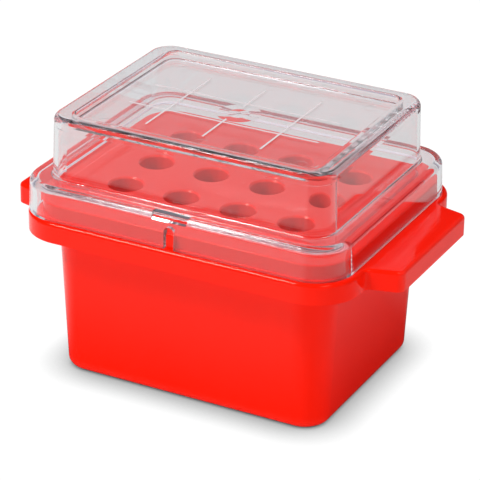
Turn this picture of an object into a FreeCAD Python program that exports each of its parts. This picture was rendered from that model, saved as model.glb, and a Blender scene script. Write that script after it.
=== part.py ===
"""Twelve-place benchtop tube cooler: a gel-filled red tub, a well insert and a clear lift-off lid.

Frame: X runs along a row of four wells, Y points to the back and Z up.  The origin is the centre of the
face that the tub stands on.  Lengths are in millimetres and angles in degrees.
"""
import FreeCAD, Part
import math
import os
from types import SimpleNamespace

import Sketcher
from FreeCAD import Vector

DRIVING = {
    # wells
    "columns": 4, "rows": 3, "column_pitch": 21.0, "row_pitch": 20.7,
    "well_diameter": 11.4, "well_wall": 1.6, "well_lip": 0.5, "well_depth": 39.0,
    # tub
    "wall": 2.2, "draft": 2.65, "floor_length": 97.6, "floor_width": 75.4, "floor_corner": 9.0,
    "floor_thickness": 3.0, "foot_width": 6.0, "foot_lift": 0.8, "floor_round": 3.0,
    "flange_bottom": 51.7, "flange_top": 58.7, "flange_length": 120.0, "flange_width": 96.6,
    "flange_corner": 15.5, "flange_round": 1.2, "channel_gap": 0.4,
    "grip_span": 143.0, "grip_root": 57.0, "grip_tip": 51.0, "grip_corner": 3.0, "grip_blend": 2.5,
    "neck_length": 110.4, "neck_width": 87.8, "neck_corner": 11.5, "neck_top": 62.4, "neck_foot": 0.3,
    "key_width": 2.8, "key_place": -1.4, "key_reach": 1.9, "key_top": 63.8, "key_round": 0.8,
    # insert
    "rim_top": 63.8, "rim_round": 0.6, "deck_top": 65.2, "deck_length": 102.0, "deck_width": 72.0,
    "deck_corner": 7.0, "deck_thickness": 2.0, "deck_round": 0.8, "deck_border": 2.2,
    "spigot_depth": 4.2, "spigot_gap": 0.5, "spigot_wall": 2.0,
    # gel and filling plug
    "gel_level": 54.0, "gel_gap": 0.15, "port_diameter": 10.0, "plug_head": 15.0,
    "plug_gap": 0.05, "plug_barb": 0.3, "plug_barb_rise": 0.7, "plug_stand_off": 0.1,
    # lid
    "lid_left": 0.8, "lid_front": 0.1,  # how far the loose lid rests from the middle of the tub
    "lid_wall": 2.4, "seat_gap": 0.05, "skirt_length": 117.6, "skirt_width": 93.8, "skirt_corner": 13.5,
    "skirt_draft": 2.4, "shoulder_top": 70.6, "shoulder_round": 2.1, "dome_length": 103.2,
    "dome_width": 79.2, "dome_corner": 8.5, "dome_draft": 1.8, "dome_foot": 1.0, "dome_round": 2.2,
    "dome_wall": 1.5,
    "lid_top": 92.0, "recess_length": 87.8, "recess_width": 66.8, "recess_corner": 3.6,
    "recess_depth": 2.75, "recess_round": 0.8, "recess_foot": 0.6, "inner_round": 0.8,
    "notch_length": 13.2, "notch_reach": 3.7, "notch_drop": 2.4, "notch_flare": 1.4, "notch_taper": 0.4,
    "slot_width": 3.6, "slot_rise": 7.8,
    # marks of moulding on the lid's panel: the gate in its middle and the pins that pushed it out
    "sink_diameter": 15.0, "sink_depth": 0.1, "gate_diameter": 8.0, "gate_rise": 0.16,
    "nub_diameter": 1.2, "nub_height": 0.25, "pin_diameter": 4.6, "pin_depth": 0.1,
    "pin_columns": 3, "pin_rows": 2, "pin_column_pitch": 35.8, "pin_row_pitch": 52.6,
    # grid printed on the recessed panel
    "print_line": 0.7, "print_thickness": 0.05, "print_row_gap": 17.6, "print_long": 70.2,
    "print_cross": 45.0, "print_clearing": 12.0, "print_left": 1.4, "print_front": 0.25,
}


class Size:
    """A number together with the sheet formula that gives it."""

    def __init__(self, value, formula):
        self.value = value
        self.formula = formula

    def joined(self, other, sign, result):
        other_formula = other.formula if isinstance(other, Size) else repr(other)
        return Size(result, f"({self.formula} {sign} {other_formula})")

    def __add__(self, other):
        return self.joined(other, "+", self.value + number(other))

    def __sub__(self, other):
        return self.joined(other, "-", self.value - number(other))

    def __mul__(self, other):
        return self.joined(other, "*", self.value * number(other))

    def __truediv__(self, other):
        return self.joined(other, "/", self.value / number(other))

    def __neg__(self):
        return self * -1

    def tangent(self):
        """The tangent of an angle in degrees."""
        return Size(math.tan(math.radians(self.value)), f"tan({self.formula})")


def number(size):
    """The plain number of a Size, or of a number."""
    return size.value if isinstance(size, Size) else size


def fill_sheet(document):
    """Write the driving dimensions into a spreadsheet and return one named Size for each."""
    sheet = document.addObject("Spreadsheet::Sheet", "Sizes")
    named = {}
    for row, (name, value) in enumerate(DRIVING.items(), 1):
        sheet.set(f"A{row}", name)
        sheet.set(f"B{row}", str(value))
        sheet.setAlias(f"B{row}", name)
        named[name] = Size(value, f"Sizes.{name}")
    document.recompute()
    return SimpleNamespace(**named)


def bind(obj, path, size):
    """Tie a property to the sheet."""
    obj.setExpression(path, size.formula)


doc = FreeCAD.newDocument("tube_cooler")
s = fill_sheet(doc)
NOTHING = Size(0.0, "0")
NEAR = 0.1  # an edge this close to a limit still counts as inside it


# ---------------------------------------------------------------- sketching helpers

def origin_item(body, role):
    """One of the body's own origin planes or axes."""
    return next(item for item in body.Origin.OriginFeatures if item.Role == role)


def new_body(label):
    body = doc.addObject("PartDesign::Body", label)
    body.Label = label
    return body


def new_sketch(body, name, role="XY_Plane", across=None, along=None):
    """A sketch on an origin plane, shifted along the plane's normal and its own x axis."""
    sketch = body.newObject("Sketcher::SketchObject", name)
    sketch.AttachmentSupport = [(origin_item(body, role), "")]
    sketch.MapMode = "FlatFace"
    if across is not None:
        bind(sketch, "AttachmentOffset.Base.z", across)
    if along is not None:
        bind(sketch, "AttachmentOffset.Base.x", along)
    return sketch


def dimension(sketch, kind, arguments, size):
    """Add a dimension and tie it to the sheet."""
    index = sketch.addConstraint(Sketcher.Constraint(kind, *arguments, number(size)))
    if isinstance(size, Size):
        bind(sketch, f"Constraints[{index}]", size)


def rounded_rectangle(sketch, length, width, corner):
    """Draw a rectangle with round corners about the sketch's origin."""
    half_x, half_y, round_ = length.value / 2, width.value / 2, corner.value
    first = sketch.GeometryCount
    turns = [(half_x, -half_y), (half_x, half_y), (-half_x, half_y), (-half_x, -half_y)]
    for quarter, (x, y) in enumerate(turns):
        before = Vector(*turns[quarter - 1])
        here = Vector(x, y)
        after = Vector(*turns[(quarter + 1) % 4])
        into = (here - before).normalize() * round_
        out = (after - here).normalize() * round_
        sketch.addGeometry(Part.LineSegment(before + into, here - into))
        start = -math.pi / 2 + quarter * math.pi / 2
        circle = Part.Circle(here - into + out, Vector(0, 0, 1), round_)
        sketch.addGeometry(Part.ArcOfCircle(circle, start, start + math.pi / 2))
    lines = [first + 2 * quarter for quarter in range(4)]
    arcs = [first + 2 * quarter + 1 for quarter in range(4)]
    for quarter in range(4):
        sketch.addConstraint(Sketcher.Constraint("Tangent", lines[quarter], 2, arcs[quarter], 1))
        next_line = lines[(quarter + 1) % 4]
        sketch.addConstraint(Sketcher.Constraint("Tangent", arcs[quarter], 2, next_line, 1))
        sketch.addConstraint(Sketcher.Constraint("Vertical" if quarter % 2 else "Horizontal", lines[quarter]))
    for arc in arcs[1:]:
        sketch.addConstraint(Sketcher.Constraint("Equal", arcs[0], arc))
    sketch.addConstraint(Sketcher.Constraint("Symmetric", arcs[0], 3, arcs[2], 3, -1, 1))
    dimension(sketch, "DistanceX", (lines[3], 1, lines[1], 1), length)
    dimension(sketch, "DistanceY", (lines[0], 1, lines[2], 1), width)
    dimension(sketch, "Radius", (arcs[0],), corner)


def outline(sketch, points):
    """Draw a closed outline of straight lines through points given as (x, y) sizes."""
    first = sketch.GeometryCount
    corners = [Vector(number(x), number(y)) for x, y in points]
    count = len(corners)
    for index, corner in enumerate(corners):
        sketch.addGeometry(Part.LineSegment(corner, corners[(index + 1) % count]))
    for index in range(count):
        line = first + index
        following = first + (index + 1) % count
        sketch.addConstraint(Sketcher.Constraint("Coincident", line, 2, following, 1))
        x, y = points[index]
        dimension(sketch, "DistanceX", (-1, 1, line, 1), x)
        dimension(sketch, "DistanceY", (-1, 1, line, 1), y)


def arc_outline(sketch, arc, corners):
    """Close an arc about a centre on the vertical axis by straight lines from its end to its start."""
    points = [Vector(number(x), number(y)) for x, y in corners]
    sketch.addGeometry([arc] + [Part.LineSegment(*pair) for pair in zip(points, points[1:])])
    for item, (x, y) in enumerate(corners):
        following = (item + 1) % len(corners)
        sketch.addConstraint(Sketcher.Constraint("Coincident", item, 2, following, 1))
        dimension(sketch, "DistanceX", (-1, 1, item, 2), x)
        dimension(sketch, "DistanceY", (-1, 1, item, 2), y)
    sketch.addConstraint(Sketcher.Constraint("PointOnObject", 0, 3, -2))


def cap_radius(side, height):
    """The radius of the ball that a cap of this half width and height is cut from."""
    return (side * side + height * height) / (height * 2)


def bowl_outline(sketch, bottom, side, rim, above):
    """Draw half of a bowl: an arc from the axis out to its rim, then straight lines back to the axis."""
    radius = cap_radius(side, rim - bottom).value
    middle = Vector(0, bottom.value + radius)
    end = math.atan2(rim.value - middle.y, side.value)
    bowl = Part.ArcOfCircle(Part.Circle(middle, Vector(0, 0, 1), radius), -math.pi / 2, end)
    arc_outline(sketch, bowl, [(side, rim)] + above + [(0, bottom)])


def dome_outline(sketch, top, side, rim, below):
    """Draw half of a low dome: an arc from its rim in to the axis, then straight lines back to the rim."""
    radius = cap_radius(side, top - rim).value
    middle = Vector(0, top.value - radius)
    start = math.atan2(rim.value - middle.y, side.value)
    dome = Part.ArcOfCircle(Part.Circle(middle, Vector(0, 0, 1), radius), start, math.pi / 2)
    arc_outline(sketch, dome, [(0, top)] + below + [(side, rim)])


def circle(sketch, diameter):
    """Draw a circle about the sketch's origin."""
    ring = sketch.addGeometry(Part.Circle(Vector(0, 0), Vector(0, 0, 1), diameter.value / 2))
    sketch.addConstraint(Sketcher.Constraint("Coincident", ring, 3, -1, 1))
    dimension(sketch, "Diameter", (ring,), diameter)


# ---------------------------------------------------------------- feature helpers

def checked(feature, body, grows):
    """Recompute, and make sure that the feature added or removed material."""
    before = body.Shape.Volume if body.Shape and not body.Shape.isNull() else 0.0
    doc.recompute()
    after = body.Shape.Volume
    if "Invalid" in feature.State or "Error" in feature.State:
        raise RuntimeError(f"{feature.Name} failed: {feature.getStatusString()}")
    if grows is not None and (after > before) != grows:
        raise RuntimeError(f"{feature.Name} went the wrong way: {before:.1f} to {after:.1f}")
    return feature


def pad(body, sketch, height, draft=None):
    """Extrude upwards; a positive draft leans the walls outwards."""
    feature = body.newObject("PartDesign::Pad", sketch.Name + "_pad")
    feature.Profile = sketch
    bind(feature, "Length", height)
    if draft is not None:
        bind(feature, "TaperAngle", draft)
    return checked(feature, body, True)


def pocket(body, sketch, depth, upwards, draft=None):
    """Cut upwards or downwards from the sketch."""
    feature = body.newObject("PartDesign::Pocket", sketch.Name + "_pocket")
    feature.Profile = sketch
    feature.Reversed = upwards
    bind(feature, "Length", depth)
    if draft is not None:
        bind(feature, "TaperAngle", draft)
    return checked(feature, body, False)


def turned(body, sketch, adds):
    """Revolve a profile about the sketch's vertical axis, as material or as a groove."""
    kind = "Revolution" if adds else "Groove"
    feature = body.newObject(f"PartDesign::{kind}", f"{sketch.Name}_{kind.lower()}")
    feature.Profile = sketch
    feature.ReferenceAxis = (sketch, ["V_Axis"])
    feature.Angle = 360
    return checked(feature, body, adds)


def round_edges(body, name, radius, wanted):
    """Round every edge of the body that the test picks."""
    edges = [f"Edge{index}" for index, edge in enumerate(body.Shape.Edges, 1) if wanted(edge)]
    if not edges:
        raise RuntimeError(f"{name}: no edge to round")
    base = body.Tip
    feature = body.newObject("PartDesign::Fillet", name)
    feature.Base = (base, edges)
    bind(feature, "Radius", radius)
    return checked(feature, body, None)


def mirrored(body, feature, role="YZ_Plane"):
    """Repeat a feature on the other side of an origin plane."""
    copy = body.newObject("PartDesign::Mirrored", feature.Name + "_mirrored")
    copy.Originals = [feature]
    copy.MirrorPlane = (origin_item(body, role), [""])
    body.Tip = copy
    return checked(copy, body, None)


def in_grid(body, feature, *steps):
    """Repeat a feature in steps, each an origin axis, a count and a pitch."""
    grid = body.newObject("PartDesign::MultiTransform", feature.Name + "_grid")
    grid.Originals = [feature]
    patterns = []
    for role, count, pitch in steps:
        pattern = body.newObject("PartDesign::LinearPattern", f"{feature.Name}_{role[0]}")
        pattern.Direction = (origin_item(body, role), [""])
        bind(pattern, "Length", pitch * (count - 1))
        bind(pattern, "Occurrences", count)
        patterns.append(pattern)
    grid.Transformations = patterns
    body.Tip = grid
    return checked(grid, body, None)


def in_well_grid(body, feature):
    """Repeat the feature of the first well at every column and row."""
    return in_grid(body, feature, ("X_Axis", s.columns, s.column_pitch), ("Y_Axis", s.rows, s.row_pitch))


def place(body, x, y):
    """Move a finished body sideways."""
    bind(body, "Placement.Base.x", x)
    bind(body, "Placement.Base.y", y)


def level(edge, height, slack=0.01):
    """True for an edge that lies at one height."""
    box = edge.BoundBox
    return abs(box.ZMin - number(height)) < slack and abs(box.ZMax - number(height)) < slack


def upright_at(edge, x, y, slack=0.3):
    """True for an upright edge at this place, or its mirror images."""
    box = edge.BoundBox
    middle = box.Center
    return box.ZLength > 1 and abs(abs(middle.x) - x) < slack and abs(abs(middle.y) - y) < slack


def reach(edge):
    """How far an edge is from the Z axis, as the larger of its x and y."""
    box = edge.BoundBox
    return max(abs(box.XMin), abs(box.XMax), abs(box.YMin), abs(box.YMax))


# ---------------------------------------------------------------- shared profiles

def well_outline(sketch, skin, above):
    """Half of a well's round-bottomed outline, moved outwards by skin, closed by the points above."""
    bottom = s.deck_top - s.well_depth - skin
    side = s.well_diameter / 2 + skin
    bowl_outline(sketch, bottom, side, bottom + side, above)


def well_skin(sketch, skin):
    """Half of the solid that a well's wall fills, up to the inside of the deck."""
    top = s.deck_top - s.deck_thickness / 2
    well_outline(sketch, skin, [(s.well_diameter / 2 + skin, top), (0, top)])


def first_well_sketch(body, name):
    """A sketch whose vertical axis is the axis of the front left well."""
    left = -(s.column_pitch * (s.columns - 1) / 2)
    front = s.row_pitch * (s.rows - 1) / 2
    return new_sketch(body, name, "XZ_Plane", across=front, along=left)


def cavity_spread(height):
    """How far one inner wall of the tub has moved outwards at this height above the floor's top."""
    return s.draft.tangent() * (height - s.floor_thickness)


# ---------------------------------------------------------------- outer tub

def tub_walls(body):
    base = new_sketch(body, "tub_floor")
    rounded_rectangle(base, s.floor_length, s.floor_width, s.floor_corner)
    pad(body, base, s.flange_bottom + s.wall, s.draft)
    flange = new_sketch(body, "tub_flange", across=s.flange_bottom)
    rounded_rectangle(flange, s.flange_length, s.flange_width, s.flange_corner)
    pad(body, flange, s.flange_top - s.flange_bottom)


def grip_outline(skin):
    """The ledge grip on the right, as seen from above, moved inwards by skin."""
    inside = s.flange_length / 2 - s.flange_round - s.wall - skin
    root_x = s.flange_length / 2
    tip_x = s.grip_span / 2 - skin
    root_y = s.grip_root / 2 - skin
    tip_y = s.grip_tip / 2 - skin
    return [(inside, -root_y), (root_x, -root_y), (tip_x, -tip_y), (tip_x, tip_y), (root_x, root_y),
            (inside, root_y)]


def tub_grips(body):
    grip = new_sketch(body, "tub_grip", across=s.flange_bottom)
    outline(grip, grip_outline(NOTHING))
    mirrored(body, pad(body, grip, s.flange_top - s.flange_bottom))
    tip_x, tip_y = s.grip_span.value / 2, s.grip_tip.value / 2
    round_edges(body, "grip_corners", s.grip_corner, lambda edge: upright_at(edge, tip_x, tip_y))
    root_x, root_y = s.flange_length.value / 2, s.grip_root.value / 2
    round_edges(body, "grip_blends", s.grip_blend, lambda edge: upright_at(edge, root_x, root_y))
    round_edges(body, "flange_edge", s.flange_round, lambda edge: level(edge, s.flange_top))


def tub_neck(body):
    neck = new_sketch(body, "tub_neck", across=s.flange_top)
    rounded_rectangle(neck, s.neck_length, s.neck_width, s.neck_corner)
    pad(body, neck, s.neck_top - s.flange_top)
    longest = s.neck_length.value / 2 + NEAR
    round_edges(body, "neck_foot", s.neck_foot,
                lambda edge: level(edge, s.flange_top) and reach(edge) < longest)
    round_edges(body, "floor_edge", s.floor_round, lambda edge: level(edge, 0))


def tub_hollows(body):
    cavity = new_sketch(body, "tub_cavity", across=s.floor_thickness)
    spread = s.draft.tangent() * s.floor_thickness * 2
    rounded_rectangle(cavity, s.floor_length - s.wall * 2 + spread, s.floor_width - s.wall * 2 + spread,
                      s.floor_corner - s.wall)
    pocket(body, cavity, s.neck_top - s.floor_thickness, True, s.draft)

    foot = new_sketch(body, "tub_foot")
    rounded_rectangle(foot, s.floor_length - s.foot_width * 2, s.floor_width - s.foot_width * 2,
                      s.floor_corner - s.foot_width / 2)
    pocket(body, foot, s.foot_lift, True)

    channel = new_sketch(body, "flange_channel", across=s.flange_bottom)
    rounded_rectangle(channel, s.flange_length - s.wall * 2, s.flange_width - s.wall * 2,
                      s.flange_corner - s.wall)
    lean = s.draft.tangent() * s.flange_bottom * 2 + s.channel_gap * 2
    rounded_rectangle(channel, s.floor_length + lean, s.floor_width + lean, s.floor_corner + lean / 2)
    pocket(body, channel, s.flange_top - s.flange_bottom - s.wall, True)

    grip = new_sketch(body, "grip_channel", across=s.flange_bottom)
    outline(grip, grip_outline(s.wall))
    mirrored(body, pocket(body, grip, s.flange_top - s.flange_bottom - s.wall, True))

    port = new_sketch(body, "filling_port")
    circle(port, s.port_diameter)
    pocket(body, port, s.floor_thickness + s.wall, True)


def tub_key(body):
    """The upright rib at the front that fits the slot in the lid's skirt."""
    sunk = s.wall / 2
    key = new_sketch(body, "lid_key", across=s.flange_top - sunk, along=s.key_place)
    back = -(s.neck_width / 2)
    front = -(s.neck_width / 2 + s.key_reach)
    side = s.key_width / 2
    outline(key, [(-side, front), (side, front), (side, back), (-side, back)])
    pad(body, key, s.key_top - s.flange_top + sunk)
    nose = -front.value
    round_edges(body, "key_nose", s.key_round,
                lambda edge: level(edge, s.key_top) and abs(edge.BoundBox.YMax + nose) < NEAR)


def outer_tub():
    body = new_body("outer_tub")
    tub_walls(body)
    tub_grips(body)
    tub_neck(body)
    tub_hollows(body)
    tub_key(body)
    return body


# ---------------------------------------------------------------- well insert

def well_insert():
    body = new_body("well_insert")
    rim = new_sketch(body, "insert_rim", across=s.neck_top)
    rounded_rectangle(rim, s.neck_length, s.neck_width, s.neck_corner)
    pad(body, rim, s.rim_top - s.neck_top)
    round_edges(body, "rim_edge", s.rim_round, lambda edge: level(edge, s.rim_top))
    deck = new_sketch(body, "insert_deck", across=s.rim_top)
    rounded_rectangle(deck, s.deck_length, s.deck_width, s.deck_corner)
    pad(body, deck, s.deck_top - s.rim_top)
    round_edges(body, "deck_edge", s.deck_round, lambda edge: level(edge, s.deck_top))

    mouth = cavity_spread(s.neck_top - s.spigot_depth) * 2 - s.spigot_gap
    spigot_length = s.floor_length - s.wall * 2 + mouth
    spigot_width = s.floor_width - s.wall * 2 + mouth
    spigot_corner = s.floor_corner - s.wall + mouth / 2
    spigot = new_sketch(body, "insert_spigot", across=s.neck_top - s.spigot_depth)
    rounded_rectangle(spigot, spigot_length, spigot_width, spigot_corner)
    pad(body, spigot, s.spigot_depth)

    hollow = new_sketch(body, "insert_hollow", across=s.neck_top - s.spigot_depth)
    rounded_rectangle(hollow, spigot_length - s.spigot_wall * 2, s.deck_width - s.deck_border * 2,
                      s.deck_corner - s.rim_round)
    pocket(body, hollow, s.spigot_depth + s.deck_top - s.neck_top - s.deck_thickness, True)

    skin = first_well_sketch(body, "well_skin")
    well_skin(skin, s.well_wall)
    in_well_grid(body, turned(body, skin, True))
    bore = first_well_sketch(body, "well_bore")
    side = s.well_diameter / 2
    lip_side = side + s.well_lip
    above_deck = s.deck_top + s.well_lip
    well_outline(bore, NOTHING, [(side, s.deck_top - s.well_lip), (lip_side, s.deck_top),
                                 (lip_side, above_deck), (0, above_deck)])
    in_well_grid(body, turned(body, bore, False))
    return body


# ---------------------------------------------------------------- cooling gel and filling plug

def cooling_gel():
    """The fill between the tub and the wells, a hair clear of both."""
    body = new_body("cooling_gel")
    bottom = s.floor_thickness + s.gel_gap
    block = new_sketch(body, "gel_block", across=bottom)
    spread = (s.draft.tangent() * s.floor_thickness - s.gel_gap) * 2
    rounded_rectangle(block, s.floor_length - s.wall * 2 + spread, s.floor_width - s.wall * 2 + spread,
                      s.floor_corner - s.wall)
    pad(body, block, s.gel_level - bottom, s.draft)
    skin = first_well_sketch(body, "gel_well")
    well_skin(skin, s.well_wall + s.gel_gap)
    in_well_grid(body, turned(body, skin, False))
    room = new_sketch(body, "gel_plug_room", across=bottom)
    circle(room, s.port_diameter + s.plug_barb * 2 + s.gel_gap * 2)
    pocket(body, room, s.plug_barb_rise + s.gel_gap, True)
    return body


def fill_plug():
    """The push-in plug that closes the port in the tub's floor."""
    body = new_body("fill_plug")
    profile = new_sketch(body, "plug_profile", "XZ_Plane")
    stem = s.port_diameter / 2 - s.plug_gap
    barb = s.port_diameter / 2 + s.plug_barb
    head = s.plug_head / 2
    seat = s.foot_lift - s.plug_gap
    catch = s.floor_thickness + s.plug_gap
    tip = catch + s.plug_barb_rise
    outline(profile, [(0, s.plug_stand_off), (head, s.plug_stand_off), (head, seat), (stem, seat),
                      (stem, catch), (barb, catch), (stem - s.plug_barb, tip), (0, tip)])
    turned(body, profile, True)
    return body


# ---------------------------------------------------------------- clear lid

def lid_outside(body):
    seat = s.flange_top + s.seat_gap
    skirt = new_sketch(body, "lid_skirt", across=seat)
    rounded_rectangle(skirt, s.skirt_length, s.skirt_width, s.skirt_corner)
    pad(body, skirt, s.shoulder_top - seat, -s.skirt_draft)
    round_edges(body, "shoulder_edge", s.shoulder_round, lambda edge: level(edge, s.shoulder_top))
    dome = new_sketch(body, "lid_dome", across=s.shoulder_top)
    rounded_rectangle(dome, s.dome_length, s.dome_width, s.dome_corner)
    pad(body, dome, s.lid_top - s.shoulder_top, -s.dome_draft)
    dome_reach = s.dome_length.value / 2 + NEAR
    round_edges(body, "dome_foot", s.dome_foot,
                lambda edge: level(edge, s.shoulder_top) and reach(edge) < dome_reach)
    round_edges(body, "dome_edge", s.dome_round, lambda edge: level(edge, s.lid_top))


def lid_inside(body):
    seat = s.flange_top + s.seat_gap
    ceiling = s.shoulder_top - s.lid_wall
    inside = new_sketch(body, "skirt_inside", across=seat)
    rounded_rectangle(inside, s.skirt_length - s.lid_wall * 2, s.skirt_width - s.lid_wall * 2,
                      s.skirt_corner - s.lid_wall)
    pocket(body, inside, ceiling - seat, True, -s.skirt_draft)
    round_edges(body, "shoulder_ceiling", s.inner_round, lambda edge: level(edge, ceiling))
    panel = s.lid_top - s.recess_depth - s.dome_wall
    room = new_sketch(body, "dome_inside", across=ceiling)
    rounded_rectangle(room, s.dome_length - s.dome_wall * 2, s.dome_width - s.dome_wall * 2,
                      s.dome_corner - s.dome_wall)
    pocket(body, room, panel - ceiling, True, -s.dome_draft)
    round_edges(body, "dome_mouth", s.inner_round, lambda edge: level(edge, ceiling))
    lean = s.dome_draft.tangent() * (s.lid_top - s.shoulder_top) * 2
    channel = new_sketch(body, "rim_channel", across=panel)
    rounded_rectangle(channel, s.dome_length - s.dome_wall * 2 - lean,
                      s.dome_width - s.dome_wall * 2 - lean, s.dome_corner - s.dome_wall)
    rounded_rectangle(channel, s.recess_length + s.dome_wall * 2, s.recess_width + s.dome_wall * 2,
                      s.recess_corner + s.dome_wall)
    pocket(body, channel, s.recess_depth, True)


def lid_recess(body):
    """The sunk panel in the top."""
    recess = new_sketch(body, "lid_recess", across=s.lid_top)
    rounded_rectangle(recess, s.recess_length, s.recess_width, s.recess_corner)
    pocket(body, recess, s.recess_depth, False)
    recess_reach = s.recess_length.value / 2 + NEAR
    round_edges(body, "recess_foot", s.recess_foot, lambda edge: level(edge, s.lid_top - s.recess_depth))
    round_edges(body, "recess_edge", s.recess_round,
                lambda edge: level(edge, s.lid_top) and reach(edge) < recess_reach)


def lid_gate(body):
    """Where the plastic was fed in: a low dome with a nub on it, in a wide shallow sink mark."""
    panel_top = s.lid_top - s.recess_depth
    side = s.sink_diameter / 2
    bottom = panel_top - s.sink_depth
    above = panel_top + s.sink_depth
    sink = new_sketch(body, "sink_mark", "XZ_Plane")
    bowl_outline(sink, bottom, side, panel_top, [(side, above), (0, above)])
    turned(body, sink, False)

    side = s.gate_diameter / 2
    below = bottom - s.sink_depth
    gate = new_sketch(body, "gate_dome", "XZ_Plane")
    dome_outline(gate, bottom + s.gate_rise, side, bottom, [(0, below), (side, below)])
    turned(body, gate, True)

    nub = new_sketch(body, "gate_nub", across=bottom)
    circle(nub, s.nub_diameter)
    pad(body, nub, s.gate_rise + s.nub_height)


def lid_pin_marks(body):
    """The round marks that the mould's pins left on the underside of the panel."""
    panel = s.lid_top - s.recess_depth - s.dome_wall
    mark = new_sketch(body, "pin_mark", across=panel)
    ring = mark.addGeometry(Part.Circle(Vector(0, 0), Vector(0, 0, 1), s.pin_diameter.value / 2))
    dimension(mark, "Diameter", (ring,), s.pin_diameter)
    dimension(mark, "DistanceX", (-1, 1, ring, 3), -(s.pin_column_pitch * (s.pin_columns - 1) / 2))
    dimension(mark, "DistanceY", (-1, 1, ring, 3), -(s.pin_row_pitch * (s.pin_rows - 1) / 2))
    in_grid(body, pocket(body, mark, s.pin_depth, True),
            ("X_Axis", s.pin_columns, s.pin_column_pitch), ("Y_Axis", s.pin_rows, s.pin_row_pitch))


def lid_notch(body):
    """The thumb notch in the front edge of the shoulder: a sloping floor with sloping ends."""
    back = -(s.skirt_width / 2 - s.notch_reach)
    front = -(s.skirt_width / 2 + s.notch_flare)
    climb = s.shoulder_top - s.notch_drop - s.flange_top
    low = -(s.skirt_width / 2 - s.skirt_draft.tangent() * climb)
    sketches = []
    for name, height, half, inner in (("notch_top", s.shoulder_top, s.notch_length / 2, back),
                                      ("notch_low", s.shoulder_top - s.notch_drop,
                                       s.notch_length / 2 - s.notch_taper, low)):
        sketch = new_sketch(body, name, across=height, along=s.key_place + s.lid_left)
        outline(sketch, [(-half, front), (half, front), (half, inner), (-half, inner)])
        sketches.append(sketch)
    notch = body.newObject("PartDesign::SubtractiveLoft", "thumb_notch")
    notch.Profile = sketches[0]
    notch.Sections = [sketches[1]]
    notch.Ruled = True
    checked(notch, body, False)


def lid_slot(body):
    """The round-topped slot in the front of the skirt that drops over the tub's key."""
    across = s.skirt_width / 2 - s.lid_wall - s.wall
    sketch = new_sketch(body, "key_slot", "XZ_Plane", across=across, along=s.key_place + s.lid_left)
    half = s.slot_width / 2
    bottom = s.flange_top - s.wall / 2
    spring = s.flange_top + s.slot_rise - half
    left, right, top = -half.value, half.value, spring.value
    lines = [Part.LineSegment(Vector(left, top), Vector(left, bottom.value)),
             Part.LineSegment(Vector(left, bottom.value), Vector(right, bottom.value)),
             Part.LineSegment(Vector(right, bottom.value), Vector(right, top))]
    arch = Part.ArcOfCircle(Part.Circle(Vector(0, top), Vector(0, 0, 1), half.value), 0, math.pi)
    sketch.addGeometry(lines + [arch])
    for first, second in ((0, 1), (1, 2)):
        sketch.addConstraint(Sketcher.Constraint("Coincident", first, 2, second, 1))
    sketch.addConstraint(Sketcher.Constraint("Tangent", 2, 2, 3, 1))
    sketch.addConstraint(Sketcher.Constraint("Tangent", 3, 2, 0, 1))
    sketch.addConstraint(Sketcher.Constraint("Horizontal", 1))
    sketch.addConstraint(Sketcher.Constraint("PointOnObject", 3, 3, -2))
    dimension(sketch, "Radius", (3,), half)
    dimension(sketch, "DistanceY", (-1, 1, 3, 3), spring)
    dimension(sketch, "DistanceY", (-1, 1, 1, 1), bottom)
    pocket(body, sketch, s.wall + s.lid_wall * 2, True)


def lid():
    body = new_body("lid")
    lid_outside(body)
    lid_recess(body)
    lid_inside(body)
    lid_gate(body)
    lid_pin_marks(body)
    lid_notch(body)
    lid_slot(body)
    place(body, -s.lid_left, -s.lid_front)
    return body


def printed_grid():
    """White lines on the recessed panel: two along X and three along Y, one cell for each well."""
    body = new_body("printed_grid")
    panel_top = s.lid_top - s.recess_depth
    half_line = s.print_line / 2

    long_line = new_sketch(body, "long_line", across=panel_top)
    y = s.print_row_gap / 2
    half = s.print_long / 2
    outline(long_line, [(-half, y - half_line), (half, y - half_line), (half, y + half_line),
                        (-half, y + half_line)])
    front_line = pad(body, long_line, s.print_thickness)

    middle = new_sketch(body, "middle_cross_line", across=panel_top)
    half = s.print_cross / 2
    outline(middle, [(-half_line, -half), (half_line, -half), (half_line, half), (-half_line, half)])
    pad(body, middle, s.print_thickness)
    mirrored(body, front_line, "XZ_Plane")

    side_line = new_sketch(body, "side_cross_line", across=panel_top)
    x = s.column_pitch
    outline(side_line, [(x - half_line, -half), (x + half_line, -half), (x + half_line, half),
                        (x - half_line, half)])
    mirrored(body, pad(body, side_line, s.print_thickness))

    clearing = new_sketch(body, "gate_clearing", across=panel_top, along=s.print_left)
    circle(clearing, s.print_clearing)
    pocket(body, clearing, s.print_thickness, True)
    place(body, -(s.lid_left + s.print_left), -(s.lid_front + s.print_front))
    return body


# ---------------------------------------------------------------- build, check and write

def failed_objects():
    return [obj.Name for obj in doc.Objects if {"Invalid", "Error"} & set(obj.State)]


pieces = [outer_tub(), well_insert(), cooling_gel(), fill_plug(), lid(), printed_grid()]
doc.recompute()
if failed_objects():
    raise SystemExit("failed: " + ", ".join(failed_objects()))
for piece in pieces:
    if piece.Shape.isNull() or not piece.Shape.isValid() or len(piece.Shape.Solids) != 1:
        raise SystemExit(f"{piece.Label} is not one valid solid")
os.makedirs("parts", exist_ok=True)
for piece in pieces:
    piece.Shape.exportStep(f"parts/{piece.Label}.step")
    box = piece.Shape.BoundBox
    print(f"{piece.Label}: {box.XLength:.2f} x {box.YLength:.2f} x {box.ZLength:.2f} mm,"
          f" {piece.Shape.Volume / 1000:.1f} cm3")
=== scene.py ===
"""Looks of the benchtop tube cooler: materials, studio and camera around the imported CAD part.

Lengths are in metres in the CAD frame: X along a row of wells, Y to the back, Z up.
"""

import math

import bpy
from mathutils import Matrix, Vector


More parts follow.
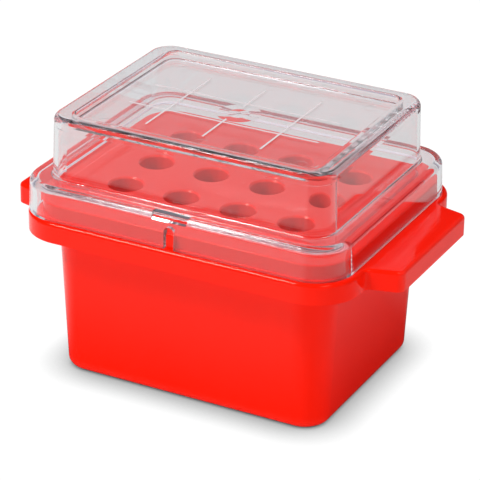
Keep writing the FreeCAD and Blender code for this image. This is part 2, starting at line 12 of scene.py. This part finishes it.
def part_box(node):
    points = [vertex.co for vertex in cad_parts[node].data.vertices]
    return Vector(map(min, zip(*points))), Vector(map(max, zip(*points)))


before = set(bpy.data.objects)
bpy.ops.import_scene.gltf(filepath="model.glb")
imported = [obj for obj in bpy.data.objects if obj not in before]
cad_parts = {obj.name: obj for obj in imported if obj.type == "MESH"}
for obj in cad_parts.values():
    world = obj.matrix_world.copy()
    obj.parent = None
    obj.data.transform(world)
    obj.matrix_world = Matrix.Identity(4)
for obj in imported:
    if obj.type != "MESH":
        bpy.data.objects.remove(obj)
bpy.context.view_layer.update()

MM = 0.001
X, Y, Z = 0, 1, 2
scene = bpy.context.scene


# ---------------------------------------------------------------- node helpers

def feed(tree, node, values):
    """Link or set a node's inputs, given as the name or number of each socket and its value."""
    for socket, value in values.items():
        if isinstance(value, bpy.types.NodeSocket):
            tree.links.new(value, node.inputs[socket])
        else:
            node.inputs[socket].default_value = value


def add(tree, kind, **settings):
    """Make a node; settings name its attributes, or its input sockets when they start with in_."""
    node = tree.nodes.new("ShaderNode" + kind)
    for key, value in settings.items():
        if key.startswith("in_"):
            feed(tree, node, {key[3:].replace("_", " "): value})
        else:
            setattr(node, key, value)
    return node


def opaque(colour):
    """A red, green and blue colour with full alpha; the output of a node is left as it is."""
    return (*colour, 1) if isinstance(colour, tuple) else colour


def mix_number(tree, factor, first, second):
    """The first number where the factor is zero, running to the second where it is one."""
    node = add(tree, "Mix", data_type="FLOAT")
    feed(tree, node, {0: factor, 2: first, 3: second})
    return node.outputs[0]


def mix_colour(tree, factor, first, second):
    """The first colour where the factor is zero, running to the second where it is one."""
    node = add(tree, "Mix", data_type="RGBA")
    feed(tree, node, {0: factor, 6: opaque(first), 7: opaque(second)})
    return node.outputs[2]


def mix_shader(tree, factor, first, second):
    """The first shader node where the factor is zero, the second where it is one."""
    node = add(tree, "MixShader")
    feed(tree, node, {0: factor, 1: first.outputs[0], 2: second.outputs[0]})
    return node


def maths(tree, operation, first, second=0.0):
    node = add(tree, "Math", operation=operation)
    feed(tree, node, {0: first, 1: second})
    return node.outputs[0]


def smooth_step(tree, value, near, far, low, high):
    """Low where the value is at near, high where it is at far, and an S-curve between the two."""
    node = add(tree, "MapRange", interpolation_type="SMOOTHSTEP", in_Value=value, in_From_Min=near,
               in_From_Max=far, in_To_Min=low, in_To_Max=high)
    return node.outputs["Result"]


def part_place(tree):
    return add(tree, "TexCoord").outputs["Object"]


def along(tree, vector, axis):
    """A vector's component along X, Y or Z."""
    return add(tree, "SeparateXYZ", in_Vector=vector).outputs[axis]


def noise(tree, size, detail, stretch=(1, 1, 1)):
    """Noise with features about size metres across, and finer along an axis stretched above one."""
    mapping = add(tree, "Mapping", in_Vector=part_place(tree), in_Scale=stretch)
    node = add(tree, "TexNoise", in_Vector=mapping.outputs[0], in_Scale=1 / size, in_Detail=detail)
    return node.outputs["Fac"]


def bump(tree, height, depth, strength=1.0):
    """The normal of a surface with fine relief."""
    return add(tree, "Bump", in_Height=height, in_Distance=depth, in_Strength=strength).outputs["Normal"]


def fade(tree, axis, full, gone):
    """One on the planes at plus and minus full along an axis, falling to zero on those at gone."""
    distance = maths(tree, "ABSOLUTE", along(tree, part_place(tree), axis))
    return smooth_step(tree, distance, near=gone, far=full, low=0, high=1)


# ---------------------------------------------------------------- materials

def new_material(name):
    """A material with an empty node tree."""
    material = bpy.data.materials.new(name)
    material.use_nodes = True
    material.node_tree.nodes.clear()
    return material, material.node_tree


def finish_material(tree, shader):
    """Show a shader node on the surface."""
    add(tree, "OutputMaterial", in_Surface=shader.outputs[0])


def red_plastic():
    """Moulded plastic: faint flow marks, a fine grain, drawn scuffs, and rubbed feet and grip tips."""
    fresh_colours = (0.85, 0.008, 0.001), (0.90, 0.010, 0.002)
    worn_colour = (0.95, 0.20, 0.16)
    most_paling = 0.12
    roughness = 0.10
    grain_swing = 0.03
    scuff_swing = -0.02, 0.04
    most_rubbing = 0.15
    foot_reach = 5 * MM
    tip_reach = 2 * MM
    grip_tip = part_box("outer_tub")[1][X]
    material, tree = new_material("red_plastic")
    flow = noise(tree, size=30 * MM, detail=3, stretch=(1, 1, 0.35))
    grain = noise(tree, size=0.25 * MM, detail=4)
    scuffs = noise(tree, size=4 * MM, detail=6, stretch=(1, 1, 9))
    foot = fade(tree, Z, full=0, gone=foot_reach)
    tips = fade(tree, X, full=grip_tip, gone=grip_tip - tip_reach)
    wear = maths(tree, "MULTIPLY", maths(tree, "MAXIMUM", foot, tips), scuffs)

    fresh = mix_colour(tree, flow, *fresh_colours)
    colour = mix_colour(tree, maths(tree, "MULTIPLY", wear, most_paling), fresh, worn_colour)
    grained = mix_number(tree, grain, roughness - grain_swing, roughness + grain_swing)
    scuffed = maths(tree, "ADD", grained, mix_number(tree, scuffs, *scuff_swing))
    rubbed = maths(tree, "ADD", scuffed, maths(tree, "MULTIPLY", wear, most_rubbing))
    relief = add(tree, "Bump", in_Height=flow, in_Distance=0.05 * MM, in_Strength=0.3,
                 in_Normal=bump(tree, grain, depth=0.003 * MM, strength=0.5))
    shader = add(tree, "BsdfPrincipled", in_Base_Color=colour, in_Roughness=rubbed,
                 in_Normal=relief.outputs[0], in_IOR=1.38, in_Specular_Tint=opaque((1.0, 0.6, 0.5)))
    finish_material(tree, shader)
    return material


def clear_plastic():
    """Polished clear plastic with faint hairlines, which lets light through to what it covers."""
    material, tree = new_material("clear_polycarbonate")
    haze = noise(tree, size=14 * MM, detail=4)
    hairline = noise(tree, size=1.2 * MM, detail=5, stretch=(14, 1, 1))
    glass = add(tree, "BsdfPrincipled", in_Base_Color=opaque((0.94, 0.945, 0.955)), in_IOR=1.585,
                in_Transmission_Weight=1.0, in_Roughness=mix_number(tree, haze, 0.0, 0.015),
                in_Normal=bump(tree, hairline, depth=0.0001 * MM, strength=0.4))
    unshaded = add(tree, "BsdfTransparent", in_Color=opaque((0.99, 0.98, 0.98)))
    is_shadow = add(tree, "LightPath").outputs["Is Shadow Ray"]
    finish_material(tree, mix_shader(tree, is_shadow, glass, unshaded))
    return material


def white_ink():
    """Matt ink, slightly speckled."""
    material, tree = new_material("white_ink")
    speckle = noise(tree, size=0.3 * MM, detail=3)
    colour = mix_colour(tree, speckle, (0.62, 0.56, 0.58), (0.70, 0.64, 0.66))
    shader = add(tree, "BsdfPrincipled", in_Base_Color=colour, in_Roughness=0.6,
                 in_Normal=bump(tree, speckle, depth=0.01 * MM))
    finish_material(tree, shader)
    return material


def soft_gel():
    """Cloudy pale blue gel."""
    material, tree = new_material("cooling_gel")
    cloud = noise(tree, size=9 * MM, detail=4)
    colour = mix_colour(tree, cloud, (0.30, 0.55, 0.72), (0.55, 0.75, 0.85))
    shader = add(tree, "BsdfPrincipled", in_Base_Color=colour, in_Subsurface_Weight=0.3,
                 in_Roughness=mix_number(tree, cloud, 0.25, 0.45),
                 in_Normal=bump(tree, cloud, depth=0.2 * MM))
    finish_material(tree, shader)
    return material


def dress(material, *nodes):
    """Give the objects of these CAD nodes one material."""
    for node in nodes:
        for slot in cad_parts[node].material_slots:
            slot.material = material


# ---------------------------------------------------------------- studio

# brightness of the room, which differs with what sees it
ROOM_LIGHT = 0.42         # matt surfaces, which it lights
ROOM_DARK = 0.03          # polished surfaces, which mirror it
WALLS = 0.62              # the camera through the lid, near the horizon
CEILING = 0.2             # the camera through the lid, higher up
WALL_TOP = 0.15           # the sine of the elevation up to which the walls reach
CEILING_EDGE = 0.5        # the sine of the elevation from which on the ceiling is seen
ROOM_TINT = (0.92, 0.86, 1.0)

# brightness of the floor, likewise
BACKGROUND_WHITE = 1.04   # the camera, which sees the same white in room and floor
FLOOR_THROUGH_LID = 0.82
FLOOR_MIRRORED = 0.95
# painted shade: the mirrored floor on the right, darker than FLOOR_MIRRORED
FLOOR_MIRRORED_RIGHT = 0.45
FLOOR_COLOUR = (0.9, 0.9, 0.9)
MIRRORED_AT_FOOT = 0.1    # painted shade: the share of the mirrored floor brightness that is left beside the foot
# how far from the foot and to the right the painted shade in the mirrored floor reaches
AWAY_REACH = 60 * MM
RIGHT_REACH = 70 * MM
# how far the contact shadow painted on the floor from ambient occlusion reaches
SHADOW_REACH = 13 * MM

LIGHTS_AIM = Vector((0, 0, 50 * MM))

VIEW_AZIMUTH = math.radians(27.27)
VIEW_ELEVATION = math.radians(25.53)
VIEW_ROLL = math.radians(0.84)
CAMERA_PLACE = Vector((0.35524, -0.68866, 0.41320))
LENS_MM = 190.85
SENSOR_MM = 36


def seen_through_lid(tree):
    """One for a ray that has passed through clear plastic on its way from the camera."""
    return maths(tree, "GREATER_THAN", add(tree, "LightPath").outputs["Transmission Depth"], 0.5)


def beside_tub(tree, place):
    """How far a place on the floor lies outside the foot of the tub, taken as the gel's outline."""
    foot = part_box("cooling_gel")[1]
    beside = [maths(tree, "SUBTRACT", maths(tree, "ABSOLUTE", along(tree, place, axis)), foot[axis])
              for axis in (X, Y)]
    return maths(tree, "MAXIMUM", *beside)


def studio_world():
    """A dark room with pale walls near the horizon; plain white behind the object for the camera."""
    world = bpy.data.worlds.new("studio")
    world.use_nodes = True
    tree = world.node_tree
    tree.nodes.clear()
    paths = add(tree, "LightPath").outputs
    through_lid = seen_through_lid(tree)
    rise = along(tree, add(tree, "TexCoord").outputs["Generated"], Z)
    walls = smooth_step(tree, rise, near=WALL_TOP, far=CEILING_EDGE, low=WALLS, high=CEILING)
    strength = mix_number(tree, through_lid, ROOM_DARK, walls)
    strength = mix_number(tree, paths["Is Diffuse Ray"], strength, ROOM_LIGHT)
    strength = mix_number(tree, paths["Is Camera Ray"], strength, BACKGROUND_WHITE)
    tint = mix_colour(tree, through_lid, (1, 1, 1), ROOM_TINT)
    room = add(tree, "Background", in_Color=tint, in_Strength=strength)
    add(tree, "OutputWorld", in_Surface=room.outputs[0])
    scene.world = world


def softbox(name, azimuth, elevation, size, radiance, lid, distance=1.2):
    """A soft light of a width and height, facing the object from a direction.

    lid says what it falls on: INCLUDE for the lid alone, EXCLUDE for everything but the lid.
    """
    width, height = size
    data = bpy.data.lights.new(name, "AREA")
    data.shape = "RECTANGLE"
    data.size = width
    data.size_y = height
    data.energy = radiance * width * height * math.pi
    light = bpy.data.objects.new(name, data)
    scene.collection.objects.link(light)
    az, el = math.radians(azimuth), math.radians(elevation)
    out = Vector((math.cos(az) * math.cos(el), math.sin(az) * math.cos(el), math.sin(el)))
    light.location = LIGHTS_AIM + out * distance
    light.rotation_euler = out.to_track_quat("Z", "Y").to_euler()
    light.visible_camera = False
    linked = bpy.data.collections.new(name + "_and_the_lid")
    linked.objects.link(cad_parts["lid"])
    light.light_linking.receiver_collection = linked
    linked.collection_objects[0].light_linking.link_state = lid
    return light


def studio_lights():
    """Two lights from above and two low ones for the red plastic, and two for the lid alone."""
    softbox("key", azimuth=-134, elevation=53, size=(0.35, 0.35), radiance=28.0, lid="EXCLUDE")
    softbox("fill", azimuth=-25, elevation=62, size=(0.2, 0.2), radiance=15.5, lid="EXCLUDE")
    softbox("lid_key", azimuth=-134, elevation=53, size=(0.15, 0.15), radiance=14.0, lid="INCLUDE")
    front = softbox("front", azimuth=-100, elevation=15, size=(0.8, 0.5), radiance=2.5, lid="EXCLUDE")
    side = softbox("side", azimuth=5, elevation=15, size=(0.8, 0.5), radiance=2.2, lid="EXCLUDE")
    for light in (front, side):
        light.visible_glossy = False
    # the wide light behind the object lays a pale veil over what is seen through the lid
    softbox("veil", azimuth=117, elevation=25, size=(2.4, 1.0), radiance=0.46, lid="INCLUDE", distance=1.5)


def pale_floor():
    """White for the camera with a soft grey contact shadow painted from ambient occlusion, and painted
    shade beside the foot and to the right in what polished surfaces mirror; plain matt white for light
    that bounces.
    """
    material, tree = new_material("pale_floor")
    paths = add(tree, "LightPath").outputs
    painted_contact_shadow = add(tree, "AmbientOcclusion", samples=8, in_Distance=SHADOW_REACH).outputs["AO"]
    place = part_place(tree)
    # painted shade in the floor that polished surfaces mirror: darker to the right and beside the foot of
    # the tub
    mirrored_with_painted_right_shade = smooth_step(tree, along(tree, place, X), near=0, far=RIGHT_REACH,
                             low=FLOOR_MIRRORED, high=FLOOR_MIRRORED_RIGHT)
    painted_shade_beside_foot = smooth_step(tree, beside_tub(tree, place), near=0, far=AWAY_REACH,
                       low=MIRRORED_AT_FOOT, high=1.0)
    mirrored = maths(tree, "MULTIPLY", mirrored_with_painted_right_shade, painted_shade_beside_foot)
    strength = mix_number(tree, seen_through_lid(tree), mirrored, FLOOR_THROUGH_LID)
    strength = mix_number(tree, paths["Is Camera Ray"], strength, BACKGROUND_WHITE)
    shown = add(tree, "Emission", in_Strength=maths(tree, "MULTIPLY", painted_contact_shadow, strength))
    matt = add(tree, "BsdfDiffuse", in_Color=opaque(FLOOR_COLOUR))
    finish_material(tree, mix_shader(tree, paths["Is Diffuse Ray"], shown, matt))
    return material


def floor():
    """A wide flat sheet under the object."""
    side = 3.0
    corners = [(-side, -side, 0), (side, -side, 0), (side, side, 0), (-side, side, 0)]
    mesh = bpy.data.meshes.new("floor")
    mesh.from_pydata(corners, [], [(0, 1, 2, 3)])
    mesh.materials.append(pale_floor())
    piece = bpy.data.objects.new("floor", mesh)
    scene.collection.objects.link(piece)


def camera():
    """A long lens that looks down on the front right corner, rolled by less than a degree."""
    data = bpy.data.cameras.new("camera")
    data.lens = LENS_MM
    data.sensor_width = SENSOR_MM
    view = bpy.data.objects.new("camera", data)
    scene.collection.objects.link(view)
    back = Vector((math.sin(VIEW_AZIMUTH) * math.cos(VIEW_ELEVATION),
                   -math.cos(VIEW_AZIMUTH) * math.cos(VIEW_ELEVATION), math.sin(VIEW_ELEVATION)))
    level = Vector((math.cos(VIEW_AZIMUTH), math.sin(VIEW_AZIMUTH), 0))
    up = back.cross(level)
    right = level * math.cos(VIEW_ROLL) + up * math.sin(VIEW_ROLL)
    top = up * math.cos(VIEW_ROLL) - level * math.sin(VIEW_ROLL)
    turn = Matrix((right, top, back)).transposed()
    view.matrix_world = Matrix.Translation(CAMERA_PLACE) @ turn.to_4x4()
    scene.camera = view


def light_paths():
    """Let light run on inside the lid until it leaves, so that the lid's edges don't turn black."""
    bounces = 48
    scene.cycles.max_bounces = bounces
    scene.cycles.transmission_bounces = bounces
    scene.cycles.glossy_bounces = bounces
    scene.cycles.transparent_max_bounces = 16


dress(red_plastic(), "outer_tub", "well_insert", "fill_plug")
dress(soft_gel(), "cooling_gel")
dress(clear_plastic(), "lid")
dress(white_ink(), "printed_grid")
studio_world()
studio_lights()
floor()
camera()
light_paths()
scene.view_settings.view_transform = "Standard"
